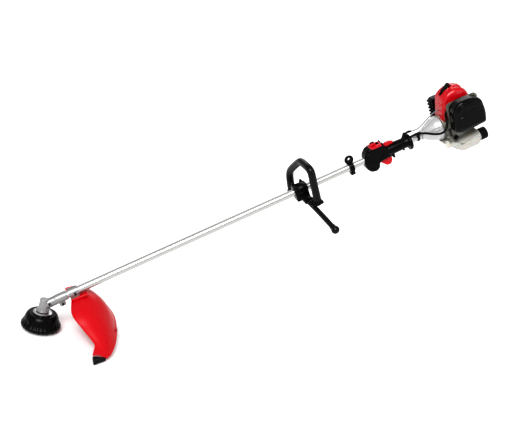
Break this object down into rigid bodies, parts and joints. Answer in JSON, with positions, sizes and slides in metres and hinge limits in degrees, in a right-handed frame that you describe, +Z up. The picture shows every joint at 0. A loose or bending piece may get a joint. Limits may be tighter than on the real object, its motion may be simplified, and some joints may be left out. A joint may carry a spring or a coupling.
{
  "type": "brush cutter",
  "caption": "Straight-shaft petrol brush cutter with line head, deflector guard, loop front handle, barrier bar and rear throttle grip, in working attitude.",
  "frame": {"origin": "centre of the trimmer head's ground face, which rests on the ground in work", "axes": "+Z up along the head's spin axis, +X from the head towards the engine, -Y the operator's left"},
  "size_m": [1.5852, 0.355, 1.0254],
  "materials": {
    "black_plastic": "satin moulded nylon",
    "dark_plastic": "moulded",
    "line_nylon": "nylon line",
    "rubber_black": "soft rubber",
    "steel": "machined",
    "black_steel": "blackened",
    "cast_alloy": "cast",
    "silver_cast": "silver paint over cast alloy",
    "tube_alloy": "satin anodised",
    "red_plastic": "gloss moulded",
    "bush": "bearing plastic",
    "loop_black": "black powder coat",
    "starter_black": "moulded",
    "tank_white": "translucent polythene",
    "foam": "open foam",
    "rope": "braided",
    "wire_grey": "insulated wire"
  },
  "bodies": {
    "root": {"air_base": "cast_alloy", "air_filter": "foam", "barrier_bar": "loop_black", "bearings": "steel", "cable_clip": "black_plastic", "carburettor": "cast_alloy", "clamp_bolts": "black_steel", "clutch_housing": "silver_cast", "clutch_shoes": "steel", "crankshaft": "steel", "engine_block": "cast_alloy", "engine_cover": "red_plastic", "flywheel": "cast_alloy", "fuel_tank": "tank_white", "gearcase": "cast_alloy", "grip_left": "black_plastic", "grip_right": "black_plastic", "guard": "red_plastic", "guard_bracket": "cast_alloy", "guard_tip": "rubber_black", "harness_clamp": "black_plastic", "line_cutter": "steel", "loop_base": "black_plastic", "loop_clamp": "black_plastic", "loop_grip": "loop_black", "main_tube": "tube_alloy", "muffler": "black_steel", "muffler_guard": "black_plastic", "piston": "cast_alloy", "plug_boot": "rubber_black", "small_screws": "black_steel", "spark_plug": "steel", "starter_housing": "starter_black", "starter_rope": "rope", "stop_wire": "wire_grey", "throttle_cable": "rubber_black", "tube_bushes": "bush"},
    "head": {"head_housing": "black_plastic", "head_cover": "black_plastic", "head_spring": "steel", "line_eyelets": "steel", "output_shaft": "steel", "driven_gear": "steel"},
    "tap": {"tap_knob": "dark_plastic", "head_spool": "dark_plastic", "wound_line": "line_nylon"},
    "drive": {"drive_shaft": "steel", "drive_pinion": "steel", "clutch_drum": "steel"},
    "trigger": {"throttle_trigger": "red_plastic"},
    "lockout": {"trigger_lockout": "red_plastic"},
    "switch": {"stop_switch": "red_plastic"},
    "carb_lever": {"throttle_lever": "steel"},
    "choke": {"choke_lever": "dark_plastic"},
    "primer": {"primer_bulb": "rubber_black"},
    "air_door": {"air_cover": "black_plastic"},
    "seal": {"cap_seal": "rubber_black"},
    "cap": {"fuel_cap": "black_plastic"},
    "pulley": {"starter_pulley": "starter_black"},
    "handle": {"starter_grip": "starter_black"}
  },
  "joints": [
    {"name": "head_spin", "type": "hinge", "parent": "root", "child": "head", "pos_m": [0, 0, 0.06], "axis": [0, 0, 1], "continuous": true},
    {"name": "drive_spin", "type": "hinge", "parent": "root", "child": "drive", "pos_m": [0.60622, 0, 0.438], "axis": [0.866, 0, 0.5], "continuous": true},
    {"name": "tap_press", "type": "slide", "parent": "head", "child": "tap", "axis": [0, 0, 1], "range_m": [0, 0.0075], "stiffness_N_per_m": 1500, "springref_m": -0.004, "deforming": ["head_spring"]},
    {"name": "throttle_trigger_pull", "type": "hinge", "parent": "root", "child": "trigger", "pos_m": [1.12967, 0, 0.71135], "axis": [0, -1, 0], "range_deg": [0, 13], "stiffness_Nm_per_rad": 0.4, "springref_deg": -20.05},
    {"name": "trigger_lockout_press", "type": "hinge", "parent": "root", "child": "lockout", "pos_m": [1.12313, 0, 0.76069], "axis": [0, 1, 0], "range_deg": [0, 7], "stiffness_Nm_per_rad": 0.3, "springref_deg": -20.05},
    {"name": "stop_switch_slide", "type": "slide", "parent": "root", "child": "switch", "axis": [0.866, 0, 0.5], "range_m": [0, 0.01]},
    {"name": "throttle_lever_turn", "type": "hinge", "parent": "root", "child": "carb_lever", "pos_m": [1.34198, -0.05, 0.94362], "axis": [-0.5, 0, 0.866], "range_deg": [0, 52]},
    {"name": "choke_lever_turn", "type": "hinge", "parent": "root", "child": "choke", "pos_m": [1.33674, -0.065, 0.8667], "axis": [0, 1, 0], "range_deg": [0, 45]},
    {"name": "primer_press", "type": "slide", "parent": "root", "child": "primer", "axis": [0, 1, 0], "range_m": [0, 0.0035], "stiffness_N_per_m": 800, "springref_m": -0.002},
    {"name": "air_cover_hinge", "type": "hinge", "parent": "root", "child": "air_door", "pos_m": [1.40188, -0.063, 0.88987], "axis": [0.866, 0, 0.5], "range_deg": [0, 60]},
    {"name": "fuel_cap_lift", "type": "slide", "parent": "root", "child": "seal", "axis": [0.866, 0, 0.5], "range_m": [0, 0.006]},
    {"name": "fuel_cap_turn", "type": "hinge", "parent": "seal", "child": "cap", "pos_m": [1.49492, -0.03, 0.85872], "axis": [-0.866, 0, -0.5], "range_deg": [-721, 1]},
    {"name": "starter_pull", "type": "slide", "parent": "root", "child": "handle", "axis": [0, 0, 1], "range_m": [0, 0.5], "deforming": ["starter_rope"]},
    {"name": "starter_pulley_turn", "type": "hinge", "parent": "root", "child": "pulley", "pos_m": [1.44453, 0, 0.922], "axis": [0.866, 0, 0.5], "range_deg": [-960, 1]}
  ],
  "couplings": [
    {"joint": "drive_spin", "follows": "head_spin", "ratio": 1.3571},
    {"joint": "throttle_lever_turn", "follows": "throttle_trigger_pull", "ratio": 4},
    {"joint": "fuel_cap_turn", "follows": "fuel_cap_lift", "rad_per_m": -2094.4},
    {"joint": "starter_pulley_turn", "follows": "starter_pull", "rad_per_m": -33.333}
  ]
}
